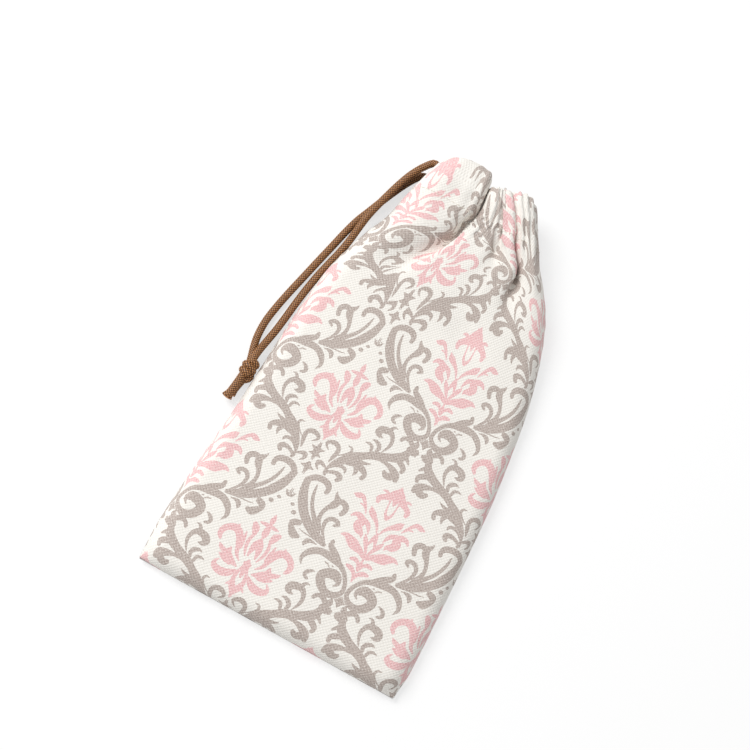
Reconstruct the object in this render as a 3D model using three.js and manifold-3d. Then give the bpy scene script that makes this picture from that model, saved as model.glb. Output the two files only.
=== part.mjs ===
// Kinchaku drawstring pouch, lying on its back with the mouth drawn shut. All sizes in mm.
// X runs across the pouch, Y from the bottom seam towards the mouth, Z up from the table.
import * as THREE from "three";
import Module from "manifold-3d";

// Cloth
const CLOTH_WIDTH = 124; // one panel from side seam to side seam
const WALL_LENGTH = 207; // bottom seam to the casing stitch row
const CASING_ROUND = 37; // cloth round the casing, from the stitch row over the top and back to it
const ALLOWANCE = 6; // seam allowance turned in at the sides and the bottom
const CLOTH = 0.6; // cloth thickness
const GAP = 0.3; // air between layers that lie on each other
const LAYER = CLOTH + GAP;
const TURN = 0.8; // radius of the turned seam edge
const FOOT = 2 * LAYER + TURN + GAP / 2; // front wall's lowest line over the back's seam

// Cord
const CORD = 3.5;
const CORD_CLEAR = CORD / 2 + GAP + CLOTH / 2; // cord centre to the middle of the cloth beside it
const CORD_SIDES = 8;

// Where the pouch is cut off along Y
const STITCH_Y = 197.5;
const CASING_Y = 206.5;
const SLIT_FROM = 186;

// Stations up the pouch: [y, value]. The swell and the draw pull the body's edges in from the flat cloth's half
// width, and the cord sets the neck's width
const HALF = CLOTH_WIDTH / 2;
const LEFT_EDGE = [[0, 2.6 - HALF], [15, 2 - HALF], [48, 3.8 - HALF], [77, 6 - HALF], [119, 7.8 - HALF],
  [145, 10 - HALF], [169, 16.4 - HALF], [183, -40], [191, -37.8], [198, -35.6], [207, -33], [220, -29.5]];
const RIGHT_EDGE = [[0, HALF - 2], [12, HALF - 0.8], [48, HALF - 1.4], [88, HALF - 2.8], [116, HALF - 5.4],
  [133, HALF - 7.6], [150, HALF - 11.2], [167, HALF - 16.4], [177, 41], [185, 36], [193, 29.6], [202, 23.6],
  [210, 19.2], [220, 15]];
const CROWN = [[0, 9.4], [30, 9.8], [80, 10.2], [120, 10.8], [148, 13], [168, 16.2], [184, 19], [197, 21],
  [206, 23.7], [220, 23.7]];
const LEFT_SEAM = [[0, 0.3], [110, 0.3], [150, 1.2], [180, 3.2], [190, 4.4], [220, 4.4]];
const RIGHT_SEAM = [[0, 0.3], [110, 0.3], [150, 1.4], [180, 4.2], [197, 7.2], [206, 7.6], [220, 7.6]];
const LEFT_SHARE = [[0, 0.335], [120, 0.34], [150, 0.36], [172, 0.41], [195, 0.5], [206, 0.53],
  [214, 0.535]]; // cloth left of column A
const MIDDLE_SHARE = [[206, 0.734], [212, 0.687], [220, 0.68]]; // cloth left of the second crease, at the casing
// Half of the cloth that goes over the cord, from the front of the casing to its back
const HEAD = (CASING_ROUND - 2 * (CASING_Y - STITCH_Y)) / 2;
// How far the front mouth's edge stands past that, from the left slit to the right seam: [across the cloth, mm]
const MOUTH_PAST = [[0, -1.6], [10, 1], [24, 3.4], [35, 2.2], [42, -1.6], [47, -3.1], [60, -2.4], [76, -2.1],
  [85, -3.1], [93, -0.2], [104, 1.6], [115, 0.2], [CLOTH_WIDTH, -2.6]];
const BACK_MOUTH_PAST = -2.8;
const COLUMN_A = 43.3; // the print's first blossom column, from the left seam
const COLUMN_C = 85; // the second crease

// Creases of the front: where each lies in the cloth going up ([y, across the cloth]), its half widths to the left
// and to the right, its depth, and the Y at which it has run out
const FRONT_CREASES = [
  { path: [[160, 29], [172, 32.5], [180, 35], [188, 37.5], [194, 42], [199, 46]], left: 8.5, right: 5.2, depth: 7.3, from: 152 },
  { path: [[162, 90], [182, 88], [196, 85.5], [206, COLUMN_C]], left: 5.4, right: 6, depth: 7.3, from: 162 },
  { path: [[160, 59], [190, 69], [206, 71]], left: 4.5, right: 4.5, depth: 2, from: 168 },
];
const CASING_HALF = 6.2; // half width of a crease in the casing
// Folds of the back, standing up off the table
const BACK_FOLDS = [17, 35, 53, 71, 89, 107];
const BACK_FOLD_HALF = 6.2;

// Cord run inside the casing: in at the slit, along the front, round the right seam, back along the back
const CASING_RUN = [[-32, 211.2, 9.7], [-27.6, 209.6, 12.1], [-21.5, 207.4, 13.7], [-12, 206.5, 14], [-2, 206.5, 14],
  [6, 206.6, 13.6], [11.4, 206.8, 12.3], [14.4, 207, 9.6], [14, 207, 6], [10.8, 206.8, 4.2], [4, 206.5, 3.9],
  [-10, 206.5, 3.9], [-22, 207, 3.9], [-28, 207.2, 3.9], [-31.4, 207.2, 3.85],
  [-33.5, 207.1, 3.7]];
// Free strands, from the slit to the knot: the inner one comes from the front casing, crosses over the outer one
// and lies along the pouch's edge
const OUTER_STRAND = [[-34.5, 206.95, 3.65], [-36, 206.3, 3.3], [-38.1, 203.2, 2.6], [-40.8, 198, 2.15],
  [-43.6, 192.2, 2.1], [-46.4, 186.4, 2.1], [-48.9, 181.1, 2.1], [-51.2, 175.3, 2.1], [-53.3, 167.5, 2.1],
  [-55.2, 158.8, 2.1], [-57.2, 149.9, 2.1], [-59.2, 140.6, 2.1], [-61.2, 131.4, 2.1], [-62.8, 122.9, 2.1],
  [-63.8, 114.9, 2.3], [-63.6, 107.4, 2.8], [-62.7, 101.8, 3.3], [-62, 97.8, 3.5]];
const INNER_STRAND = [[-32.9, 211.3, 9.4], [-34.5, 211.2, 8.95], [-36.8, 208.8, 8.2], [-39.7, 203.8, 7.2],
  [-42.4, 197.7, 6.5], [-44.7, 191.2, 6.3], [-46.5, 184.8, 6.3], [-47.9, 178.6, 6.1], [-48.8, 172.2, 5.4],
  [-49.6, 165.1, 4.3], [-50.9, 158.1, 2.9], [-52.7, 150.8, 2.1], [-54.3, 143.3, 2.1], [-55.5, 135.7, 2.1],
  [-56.4, 128.4, 2.1], [-57.1, 121.2, 2.1], [-57.9, 113.7, 2.3], [-58.6, 106.9, 2.8], [-58.5, 101.8, 3.2],
  [-58, 98, 3.4]];
// Overhand knot of both strands, and its tails
const KNOT_CENTRE = [-59.7, 92.6, 4.1];
const KNOT_TURNS = 1.6;
const KNOT_RADIUS = 2.1;
const KNOT_LENGTH = 6.4;
const TAILS = [
  [[-60.9, 94, 3.9], [-60.6, 88, 4.7], [-61, 83, 5], [-61.7, 77, 4.2]],
  [[-59, 94, 3.4], [-59.2, 88, 2.6], [-60.1, 83.6, 2.2], [-60.8, 79.2, 2.1]],
];

const smooth = (t) => t * t * (3 - 2 * t);
const clamp = (t, low, high) => Math.min(Math.max(t, low), high);
const mix = (a, b, t) => a + (b - a) * t;
const ramp = (a, b, t) => smooth(clamp((t - a) / (b - a), 0, 1));
const bell = (t) => Math.exp(-t * t);
const quarter = (t) => Math.sin((Math.PI / 2) * clamp(t, 0, 1));

// Smooth reading between hand-set stations (no overshoot)
function at(stations, y) {
  const last = stations.length - 1;
  if (y <= stations[0][0]) return stations[0][1];
  if (y >= stations[last][0]) return stations[last][1];
  const i = stations.findIndex((s) => s[0] > y) - 1;
  const slope = (k) => {
    if (k <= 0 || k >= last) return 0;
    const a = (stations[k][1] - stations[k - 1][1]) / (stations[k][0] - stations[k - 1][0]);
    const b = (stations[k + 1][1] - stations[k][1]) / (stations[k + 1][0] - stations[k][0]);
    return a * b <= 0 ? 0 : (2 * a * b) / (a + b);
  };
  const [y0, v0] = stations[i];
  const [y1, v1] = stations[i + 1];
  const h = y1 - y0;
  const t = (y - y0) / h;
  const t2 = t * t;
  const t3 = t2 * t;
  return (2 * t3 - 3 * t2 + 1) * v0 + (t3 - 2 * t2 + t) * h * slope(i)
    + (3 * t2 - 2 * t3) * v1 + (t3 - t2) * h * slope(i + 1);
}

// Height of the cord in the front casing above a point x
const cordHeight = (x) => {
  const run = CASING_RUN.slice(0, 7).map((p) => [p[0], p[2]]);
  return at(run, x);
};

// How far a crease is open at height y: it grows up the neck and stays open through the casing
const opening = (crease, y) => ramp(crease.from, 200, y);

// Front wall: height over the table in the middle of the cloth
function frontWall(u, y) {
  const crown = at(CROWN, y);
  const leftFoot = mix(at(LEFT_SEAM, y) + FOOT, cordHeight(-33) + CORD_CLEAR + GAP, ramp(SLIT_FROM, 203, y));
  const rightFoot = at(RIGHT_SEAM, y) + FOOT;
  const rise = (foot, d) => {
    const radius = crown - foot;
    return mix(foot, crown, quarter(d / Math.max(11, 1.6 * radius))) - crown;
  };
  let z = crown + rise(leftFoot, u) + rise(rightFoot, CLOTH_WIDTH - u);
  for (const crease of FRONT_CREASES) {
    const open = opening(crease, y);
    const centre = at(crease.path, y);
    const pinch = 1 + 0.16 * bell((y - 190) / 8);
    const free = u < centre ? crease.left : crease.right;
    const half = mix(free * mix(1.4, 1, open), Math.min(free, CASING_HALF), ramp(192, 202, y));
    z -= crease.depth * pinch * open * bell((u - centre) / half);
  }
  return z;
}

// Where the columns of cloth lie across the pouch: the cloth keeps its length as it climbs and falls
const STEP = 1;
function columns(height, y) {
  const steps = Math.round(CLOTH_WIDTH / STEP);
  const run = [0];
  for (let i = 0; i < steps; i++) {
    const climb = (height((i + 1) * STEP, y) - height(i * STEP, y)) / STEP;
    run.push(run[i] + Math.sqrt(Math.max(0.05, 1 - climb * climb)) * STEP);
  }
  return run;
}
const columnCache = new Map();
function across(side, u, y) {
  const key = side + y.toFixed(2);
  if (!columnCache.has(key)) columnCache.set(key, columns(side === "front" ? frontWall : backWall, y));
  const run = columnCache.get(key);
  const reach = (d) => {
    const i = Math.min(Math.floor(d / STEP), run.length - 2);
    return mix(run[i], run[i + 1], d / STEP - i);
  };
  const left = at(LEFT_EDGE, y);
  const right = at(RIGHT_EDGE, y);
  const share = at(LEFT_SHARE, y);
  const a = reach(COLUMN_A);
  const c = reach(COLUMN_C);
  const total = run[run.length - 1];
  const d = reach(clamp(u, 0, CLOTH_WIDTH));
  const flat = d / total;
  const free = mix(share, 1, (c - a) / (total - a));
  const middle = side === "front" ? mix(free, at(MIDDLE_SHARE, y), ramp(197, 208, y)) : free;
  let bent = (share * d) / a;
  if (d > a) bent = mix(share, middle, (d - a) / (c - a));
  if (d > c) bent = mix(middle, 1, (d - c) / (total - c));
  const soft = ramp(0, 14, Math.abs(u - COLUMN_A));
  return mix(left, right, mix(mix(flat, bent, 0.75), bent, soft));
}

// Back wall: flat on the table, its edges turned up to the seams, folded upwards at the neck
function backWall(u, y) {
  const leftLift = mix(at(LEFT_SEAM, y), 1, ramp(SLIT_FROM, 203, y)) - CLOTH / 2;
  const rightLift = at(RIGHT_SEAM, y) - CLOTH / 2;
  const curl = (lift, d) => lift * (1 - quarter(d / Math.max(5, 1.7 * lift)));
  const tall = 3 * ramp(140, 186, y) * mix(1, 0.36, ramp(190, 203, y));
  let z = CLOTH / 2 + curl(leftLift, u) + curl(rightLift, CLOTH_WIDTH - u);
  for (const centre of BACK_FOLDS) z += tall * bell((u - centre) / BACK_FOLD_HALF);
  return z;
}

// Distance up the cloth from the bottom seam gives Y on the wall
const BOTTOM_ROUND = 6.5;
function wallY(side, u, v) {
  const straight = (v * STITCH_Y) / WALL_LENGTH;
  if (side === "back") return straight;
  const arc = (BOTTOM_ROUND * Math.PI) / 2;
  const bend = v < arc ? BOTTOM_ROUND * (1 - Math.cos(v / BOTTOM_ROUND)) : BOTTOM_ROUND + (v - arc);
  const middle = bend + (STITCH_Y - (BOTTOM_ROUND + WALL_LENGTH - arc)) * ramp(arc, WALL_LENGTH, v);
  const edge = Math.min(u, CLOTH_WIDTH - u);
  return mix(straight, middle, quarter(edge / 16));
}

// The end of the casing reaches further up where a fold stands
const mouthEnd = (side, u) => CASING_Y + HEAD + (side === "back" ? BACK_MOUTH_PAST : at(MOUTH_PAST, u));

function hemHeight(side, u, x) {
  if (side === "front") return cordHeight(x) - CORD_CLEAR - 0.1;
  return 3.9 + CORD_CLEAR + 0.1;
}

// A point in the middle of the cloth: u across from the left seam, v up from the bottom seam and round the casing
function cloth(side, u, v) {
  const wall = side === "front" ? frontWall : backWall;
  const up = side === "front" ? 1 : -1;
  if (v < 0 || u < 0 || u > CLOTH_WIDTH) return allowance(side, u, v);
  if (v <= WALL_LENGTH) {
    const y = wallY(side, u, v);
    const x = across(side, u, y);
    let z = wall(u, y);
    if (side === "front") {
      const foot = at(LEFT_SEAM, y) + FOOT;
      z = mix(foot, z, quarter(v / (1.5 * BOTTOM_ROUND)));
    }
    return new THREE.Vector3(x, y, z);
  }
  const q = (v - WALL_LENGTH) / CASING_ROUND;
  const end = mouthEnd(side, u);
  const stitch = wall(u, STITCH_Y);
  const top = wall(u, CASING_Y);
  const xCasing = across(side, u, CASING_Y);
  const hem = hemHeight(side, u, xCasing);
  const middle = (top + hem) / 2;
  const power = 0.75;
  let y;
  let z;
  if (q < 0.25) {
    y = mix(STITCH_Y, CASING_Y, q * 4);
    z = mix(stitch, top, smooth(q * 4));
  } else if (q < 0.75) {
    const turn = (q - 0.25) * 2 * Math.PI;
    y = CASING_Y + (end - CASING_Y) * Math.sin(turn) ** power;
    const c = Math.cos(turn);
    z = middle + (top - middle) * Math.sign(c) * Math.abs(c) ** power;
  } else {
    const back = (q - 0.75) * 4;
    y = mix(CASING_Y, STITCH_Y + 0.8, back);
    z = mix(hem, stitch - up * LAYER * 1.08, ramp(0.28, 1, back));
  }
  let x = across(side, u, y);
  if (q > 0.5) {
    // The hem runs inside the cord, so at the right seam it turns back before the wall does
    const inner = ramp(0.5, 0.7, q) * (1 - ramp(0.86, 1, q));
    x = Math.min(x, mix(x, 8.2 + 0.1 * (x - 8.2), inner * ramp(8.2, 11.4, x)));
  }
  return new THREE.Vector3(x, y, z);
}

// Seam allowances, turned in and lying on each other over the back wall
function allowance(side, u, v) {
  const turned = (d) => (d < TURN * 1.57 ? TURN * (1 - Math.cos(d / TURN)) : TURN + d - TURN * 1.57);
  const sink = (d) => TURN * (1 - Math.sin(Math.min(d / TURN, Math.PI / 2)));
  const uu = clamp(u, 0, CLOTH_WIDTH);
  const edge = cloth(side, uu, Math.max(v, 0));
  const dSide = Math.max(-u, u - CLOTH_WIDTH, 0);
  const dBottom = Math.max(-v, 0);
  const d = Math.max(dSide, dBottom);
  if (side === "front") {
    edge.z -= TURN - sink(d);
  } else {
    edge.z += LAYER * (1 - sink(d) / TURN);
  }
  if (dSide > 0) edge.x += turned(dSide) * (u < 0 ? 1 : -1);
  if (dBottom > 0) edge.y += turned(dBottom);
  return edge;
}

// A sheet of cloth with thickness over the cells of a grid that are kept
function sheet(name, us, vs, point, kept, colour) {
  const mid = vs.map((v) => us.map((u) => point(u, v)));
  const normal = (i, j) => {
    const a = mid[j][Math.max(i - 1, 0)];
    const b = mid[j][Math.min(i + 1, us.length - 1)];
    const c = mid[Math.max(j - 1, 0)][i];
    const d = mid[Math.min(j + 1, vs.length - 1)][i];
    return new THREE.Vector3().subVectors(b, a).cross(new THREE.Vector3().subVectors(d, c)).normalize();
  };
  const position = [];
  const index = [];
  const id = (i, j, face) => 2 * (j * us.length + i) + face;
  mid.forEach((row, j) => row.forEach((p, i) => {
    const n = normal(i, j).multiplyScalar(CLOTH / 2);
    position.push(p.x + n.x, p.y + n.y, p.z + n.z, p.x - n.x, p.y - n.y, p.z - n.z);
  }));
  const quad = (a, b, c, d) => index.push(a, b, c, a, c, d);
  const has = (i, j) => i >= 0 && j >= 0 && i < us.length - 1 && j < vs.length - 1 && kept(us[i], us[i + 1], vs[j], vs[j + 1]);
  for (let j = 0; j < vs.length - 1; j++) {
    for (let i = 0; i < us.length - 1; i++) {
      if (!has(i, j)) continue;
      quad(id(i, j, 0), id(i + 1, j, 0), id(i + 1, j + 1, 0), id(i, j + 1, 0));
      quad(id(i, j, 1), id(i, j + 1, 1), id(i + 1, j + 1, 1), id(i + 1, j, 1));
      if (!has(i, j - 1)) quad(id(i, j, 1), id(i + 1, j, 1), id(i + 1, j, 0), id(i, j, 0));
      if (!has(i, j + 1)) quad(id(i, j + 1, 0), id(i + 1, j + 1, 0), id(i + 1, j + 1, 1), id(i, j + 1, 1));
      if (!has(i - 1, j)) quad(id(i, j, 0), id(i, j + 1, 0), id(i, j + 1, 1), id(i, j, 1));
      if (!has(i + 1, j)) quad(id(i + 1, j, 1), id(i + 1, j + 1, 1), id(i + 1, j + 1, 0), id(i + 1, j, 0));
    }
  }
  const used = new Map();
  const packed = [];
  const packedIndex = index.map((k) => {
    if (!used.has(k)) {
      used.set(k, used.size);
      packed.push(position[3 * k], position[3 * k + 1], position[3 * k + 2]);
    }
    return used.get(k);
  });
  const geometry = new THREE.BufferGeometry();
  geometry.setAttribute("position", new THREE.Float32BufferAttribute(packed, 3));
  geometry.setIndex(packedIndex);
  geometry.computeVertexNormals();
  const mesh = new THREE.Mesh(geometry, new THREE.MeshStandardMaterial({ color: colour, roughness: 0.9 }));
  mesh.name = name;
  return mesh;
}

// Grid lines: even steps between marks
function lines(marks) {
  const out = [marks[0][0]];
  for (let k = 1; k < marks.length; k++) {
    const [end, count] = marks[k];
    const start = marks[k - 1][0];
    for (let i = 1; i <= count; i++) out.push(mix(start, end, i / count));
  }
  return out;
}

const side = ALLOWANCE;
const FRONT_COLUMNS = lines([[-side, 0], [-1.3, 1], [0, 2], [20, 5], [36, 6], [56, 9], [76, 6], [95, 8], [116, 6],
  [CLOTH_WIDTH, 3], [CLOTH_WIDTH + 1.3, 2], [CLOTH_WIDTH + side, 1]]);
const BACK_COLUMNS = lines([[-side, 0], [-1.3, 1], [0, 1], [8, 2], [116, 30], [CLOTH_WIDTH, 3],
  [CLOTH_WIDTH + 1.3, 1], [CLOTH_WIDTH + side, 1]]);
const ROUND = CASING_ROUND;
const FRONT_ROWS = lines([[-side, 0], [-1.3, 1], [0, 2], [10.4, 3], [30, 1], [125, 3], [155, 2], [WALL_LENGTH, 8],
  [WALL_LENGTH + 0.25 * ROUND, 2], [WALL_LENGTH + 0.75 * ROUND, 6], [WALL_LENGTH + ROUND, 2]]);
const BACK_ROWS = lines([[-side, 0], [-1.3, 1], [0, 1], [30, 1], [140, 2], [WALL_LENGTH, 6],
  [WALL_LENGTH + 0.25 * ROUND, 2], [WALL_LENGTH + 0.75 * ROUND, 6], [WALL_LENGTH + ROUND, 2]]);

// Allowances stop short of the clipped bottom corners and of the slit
const wholeCloth = (u0, u1, v0, v1) => {
  const aside = u1 <= 0 || u0 >= CLOTH_WIDTH;
  const below = v1 <= 0;
  if (aside && (below || v0 < 8 || v1 > SLIT_FROM)) return false;
  if (below && (u0 < 7 || u1 > CLOTH_WIDTH - 7)) return false;
  return true;
};

// Round cord along hand-set points
const curve = (points) => new THREE.CatmullRomCurve3(points.map((p) => new THREE.Vector3(...p)), false, "centripetal");
function cordGeometry(path, steps, diameter) {
  // The eight-sided tube keeps the round cord's section area
  const radius = (diameter / 2) * 1.03;
  const ring = new THREE.Shape();
  for (let i = 0; i < CORD_SIDES; i++) {
    const a = (2 * Math.PI * (i + 0.5)) / CORD_SIDES;
    ring[i ? "lineTo" : "moveTo"](radius * Math.cos(a), radius * Math.sin(a));
  }
  return new THREE.ExtrudeGeometry(ring, { steps, extrudePath: path });
}
function cord(name, points, steps) {
  const mesh = new THREE.Mesh(cordGeometry(curve(points), steps, CORD), new THREE.MeshStandardMaterial({ color: 0x8a5a34 }));
  mesh.name = name;
  return mesh;
}

// The knot: the cord wound round both strands and drawn tight, with the two tails
const wasm = await Module();
wasm.setup();
function solid(geometry) {
  const flat = geometry.index ? geometry.toNonIndexed() : geometry;
  const mesh = new wasm.Mesh({
    numProp: 3,
    vertProperties: flat.attributes.position.array,
    triVerts: Uint32Array.from({ length: flat.attributes.position.count }, (_, i) => i),
  });
  mesh.merge();
  return new wasm.Manifold(mesh);
}
function knot(name) {
  const [cx, cy, cz] = KNOT_CENTRE;
  const wound = [];
  for (let i = 0; i <= 20; i++) {
    const t = i / 20;
    const a = 2 * Math.PI * KNOT_TURNS * t - 2.2;
    wound.push([cx + KNOT_RADIUS * Math.cos(a), cy + KNOT_LENGTH * (0.5 - t), cz + 0.9 * KNOT_RADIUS * Math.sin(a)]);
  }
  const coil = solid(cordGeometry(curve(wound), 20, CORD));
  const tails = TAILS.map((points) => solid(cordGeometry(curve(points), 8, CORD)));
  const whole = wasm.Manifold.union([coil, ...tails]);
  const made = whole.getMesh();
  const geometry = new THREE.BufferGeometry();
  geometry.setAttribute("position", new THREE.BufferAttribute(new Float32Array(made.vertProperties), 3));
  geometry.setIndex(Array.from(made.triVerts));
  geometry.computeVertexNormals();
  const mesh = new THREE.Mesh(geometry, new THREE.MeshStandardMaterial({ color: 0x8a5a34 }));
  mesh.name = name;
  return mesh;
}

const pouch = new THREE.Group();
pouch.add(sheet("front_panel", FRONT_COLUMNS, FRONT_ROWS, (u, v) => cloth("front", u, v), wholeCloth, 0xf3efe8));
pouch.add(sheet("back_panel", BACK_COLUMNS, BACK_ROWS, (u, v) => cloth("back", u, v), wholeCloth, 0xf3efe8));
pouch.add(cord("casing_cord", CASING_RUN, 40));
pouch.add(cord("outer_strand", OUTER_STRAND, 34));
pouch.add(cord("inner_strand", INNER_STRAND, 34));
pouch.add(knot("cord_knot"));

export default pouch;
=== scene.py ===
import math

import bpy
import numpy as np
from mathutils import Matrix, Vector, geometry


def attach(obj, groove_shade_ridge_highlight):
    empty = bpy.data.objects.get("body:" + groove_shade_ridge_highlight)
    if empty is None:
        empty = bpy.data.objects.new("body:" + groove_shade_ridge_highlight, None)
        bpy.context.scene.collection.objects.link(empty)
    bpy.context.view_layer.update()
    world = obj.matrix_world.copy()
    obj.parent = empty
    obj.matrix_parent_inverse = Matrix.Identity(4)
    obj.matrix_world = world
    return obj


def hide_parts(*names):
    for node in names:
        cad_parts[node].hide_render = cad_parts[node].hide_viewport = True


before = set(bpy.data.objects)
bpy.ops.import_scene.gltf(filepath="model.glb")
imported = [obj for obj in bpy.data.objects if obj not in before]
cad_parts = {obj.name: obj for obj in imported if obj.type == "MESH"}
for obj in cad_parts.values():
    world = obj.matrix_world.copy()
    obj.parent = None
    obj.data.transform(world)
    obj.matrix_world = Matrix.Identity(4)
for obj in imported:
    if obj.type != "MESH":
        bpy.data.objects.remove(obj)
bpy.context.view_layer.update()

MM = 0.001

# Camera: almost straight over the table, a little towards the bottom of the pouch, turned so that the pouch
# leans to the right in the picture.
CAMERA_EYE = (0.0, -0.0792, 0.7046)
CAMERA_LOOKS_AT = (-0.0112, 0.1162, 0.006)
CAMERA_ROLL = 29.14  # degrees
CAMERA_LENS = 81.15
CAMERA_SENSOR = 36.0


def placed(name, data):
    """A new object of this data, in the scene."""
    made = bpy.data.objects.new(name, data)
    bpy.context.scene.collection.objects.link(made)
    return made


camera_data = bpy.data.cameras.new("camera")
camera_data.lens = CAMERA_LENS
camera_data.sensor_width = CAMERA_SENSOR
camera_data.clip_start = 0.01
camera = placed("camera", camera_data)
backward = (Vector(CAMERA_EYE) - Vector(CAMERA_LOOKS_AT)).normalized()
rightward = Vector((0, 1, 0)).cross(backward).normalized()
facing = Matrix((rightward, backward.cross(rightward), backward)).transposed().to_4x4()
roll = Matrix.Rotation(math.radians(CAMERA_ROLL), 4, "Z")
camera.matrix_world = Matrix.Translation(CAMERA_EYE) @ facing @ roll
bpy.context.scene.camera = camera


# The drawstring: one round cord, braided of many fine brown ends over and under each other, 3.5 mm thick.
# It runs in the casing, and its two ends leave the left slit and are tied together.
CORD = 3.5
CASING_RUN = [(-31.4, 213.2, 9.9), (-27.4, 210.6, 12.1), (-21.5, 207.7, 13.7), (-12, 206.5, 14),
    (-2, 206.5, 14), (6, 206.6, 13.6), (11.4, 206.8, 12.3), (14.4, 207, 9.6), (14, 207, 6),
    (10.8, 206.8, 4.2), (4, 206.5, 3.9), (-10, 206.5, 3.9), (-22, 207, 3.9), (-28, 207.4, 3.9),
    (-31.4, 208, 3.9), (-33.6, 208.4, 3.8)]
OUTER_STRAND = [(-33.6, 208.4, 3.8), (-36, 207.8, 3.4), (-38.5, 204.9, 2.8), (-41.3, 200, 2.3),
    (-43.9, 194.2, 2.1), (-46.4, 188, 2.1), (-48.8, 181.6, 2.1), (-51.2, 175.3, 2.1), (-53.3, 167.5, 2.1),
    (-55.2, 158.8, 2.1), (-57.2, 149.9, 2.1), (-59.2, 140.6, 2.1), (-61.2, 131.4, 2.1), (-62.8, 122.9, 2.1),
    (-63.8, 114.9, 2.2), (-63.6, 107.4, 2.4), (-62.5, 101.8, 2.6), (-61.2, 97.2, 2.7), (-60.6, 94.4, 3.1)]
INNER_STRAND = [(-31.4, 213.2, 9.9), (-33.9, 213.4, 9.5), (-36.9, 210.3, 8.7), (-40.3, 204.6, 7.6),
    (-42.8, 198.2, 6.7), (-44.8, 191.4, 6.3), (-46.5, 184.8, 6.3), (-47.9, 178.6, 6.1), (-48.8, 172.2, 5.4),
    (-49.6, 165.1, 4.3), (-50.9, 158.1, 2.9), (-52.7, 150.8, 2.1), (-54.3, 143.3, 2.1), (-55.5, 135.7, 2.1),
    (-56.4, 128.4, 2.1), (-57.1, 121.2, 2.1), (-57.9, 113.7, 2.4), (-58.9, 106.9, 3.3), (-59.6, 101.8, 4.6),
    (-59.9, 98, 5.6), (-59.9, 95.2, 5.9)]
CARRIERS = 8  # ends that wind each way round the cord
BRAID_TURN = 9.0  # mm of cord for one turn of an end
BRAID_DEPTH = 0.45
ROUND_STEPS = 48
RING_STEP = 0.3
OPENED_LENGTH = 1.6  # of the cord that a loosened cut end takes up


def blend(t, ta, a, tb, b):
    """a at ta and b at tb, in a straight line between them."""
    return (tb - t) / (tb - ta) * a + (t - ta) / (tb - ta) * b


def smooth_line(points, step):
    """Points every step mm on the centripetal curve through the given points, and how far along each
    one is."""
    p = [np.array(q, float) for q in points]
    p = [2 * p[0] - p[1]] + p + [2 * p[-1] - p[-2]]
    fine = []
    for a, b, c, d in zip(p, p[1:], p[2:], p[3:]):
        t0, t1 = 0.0, math.dist(a, b) ** 0.5
        t2 = t1 + math.dist(b, c) ** 0.5
        t3 = t2 + math.dist(c, d) ** 0.5
        t = np.linspace(t1, t2, 40, endpoint=False)[:, None]
        ab, bc, cd = blend(t, t0, a, t1, b), blend(t, t1, b, t2, c), blend(t, t2, c, t3, d)
        fine.append(blend(t, t1, blend(t, t0, ab, t2, bc), t2, blend(t, t1, bc, t3, cd)))
    fine = np.vstack(fine + [p[-2][None]])
    along = np.concatenate([[0], np.cumsum(np.linalg.norm(np.diff(fine, axis=0), axis=1))])
    count = max(8, int(round(along[-1] / step)))
    even = np.linspace(0, along[-1], count + 1)
    return np.stack([np.interp(even, along, fine[:, k]) for k in range(3)], 1), even


def braid_height(turn, along):
    """The height of a cord braided over one and under one, 0 in the grooves and 1 on the ridges, and which
    way the end on top winds."""
    winding = [CARRIERS * (turn + hand * along / BRAID_TURN) for hand in (1, -1)]
    crossing = (np.floor(winding[0]) + np.floor(winding[1])) % 2
    heights = []
    for hand in (0, 1):
        ridge = np.sqrt(np.clip(1 - (2 * (winding[hand] % 1) - 1) ** 2, 0, 1))
        swell = np.sin(np.pi * (winding[1 - hand] % 1))
        heights.append(ridge * np.where(crossing == hand, 0.62 + 0.38 * swell, 0.62 - 0.5 * swell))
    return np.maximum(*heights), np.where(heights[0] > heights[1], 0.0, 1.0)


def braided(points, end_open):
    """Rings of a braided cord along the points: corners, faces, the braid's height and lie at each corner,
    and the middle line. Its far end is spread by end_open mm."""
    line, along = smooth_line(points, RING_STEP)
    tangent = np.gradient(line, axis=0)
    tangent /= np.linalg.norm(tangent, axis=1)[:, None]
    side = np.cross(tangent[0], (0.3, 0.2, 1.0))
    sides = []
    for t in tangent:
        side = side - t * (side @ t)
        side = side / np.linalg.norm(side)
        sides.append(side)
    sides = np.array(sides)
    turn = np.arange(ROUND_STEPS) / ROUND_STEPS
    height, lie = braid_height(turn[None, :], along[:, None])
    spread = end_open * np.exp(-(((along[-1] - along) / OPENED_LENGTH) ** 2))
    radius = CORD / 2 - BRAID_DEPTH * (1 - height) + spread[:, None] * (0.55 + 0.45 * height)
    angle = (2 * np.pi * turn)[None, :, None]
    ring = np.cos(angle) * sides[:, None] + np.sin(angle) * np.cross(tangent, sides)[:, None]
    corners = line[:, None] + ring * radius[..., None]
    rings, m = corners.shape[:2]
    starts = np.arange(rings - 1)[:, None] * m
    here = (starts + np.arange(m)).ravel()
    beside = (starts + (np.arange(m) + 1) % m).ravel()
    faces = np.stack([here, beside, beside + m, here + m], 1).tolist()
    corners = corners.reshape(-1, 3)
    looks = np.stack([height.ravel(), lie.ravel()], 1)
    # Each cut end is a low dome of ends
    for first, outward in ((0, -1), ((rings - 1) * m, 1)):
        rim = corners[first:first + m]
        centre = rim.mean(0)
        push = tangent[0 if first == 0 else -1] * outward
        base = len(corners)
        shoulder = centre + (rim - centre) * 0.55 + push * 0.35
        corners = np.vstack([corners, shoulder, (centre + push * 0.5)[None]])
        # The cut ends get a braid height of 0.9, so they take the bright colour of the ridges' painted
        # highlight.
        looks = np.vstack([looks, np.full((m + 1, 2), (0.9, 0.5))])
        for k in range(m):
            beyond = (k + 1) % m
            band = (first + k, first + beyond, base + beyond, base + k)
            fan = (base + k, base + beyond, base + m)
            faces += [band[::outward], fan[::outward]]
    return corners, faces, looks, line


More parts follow.
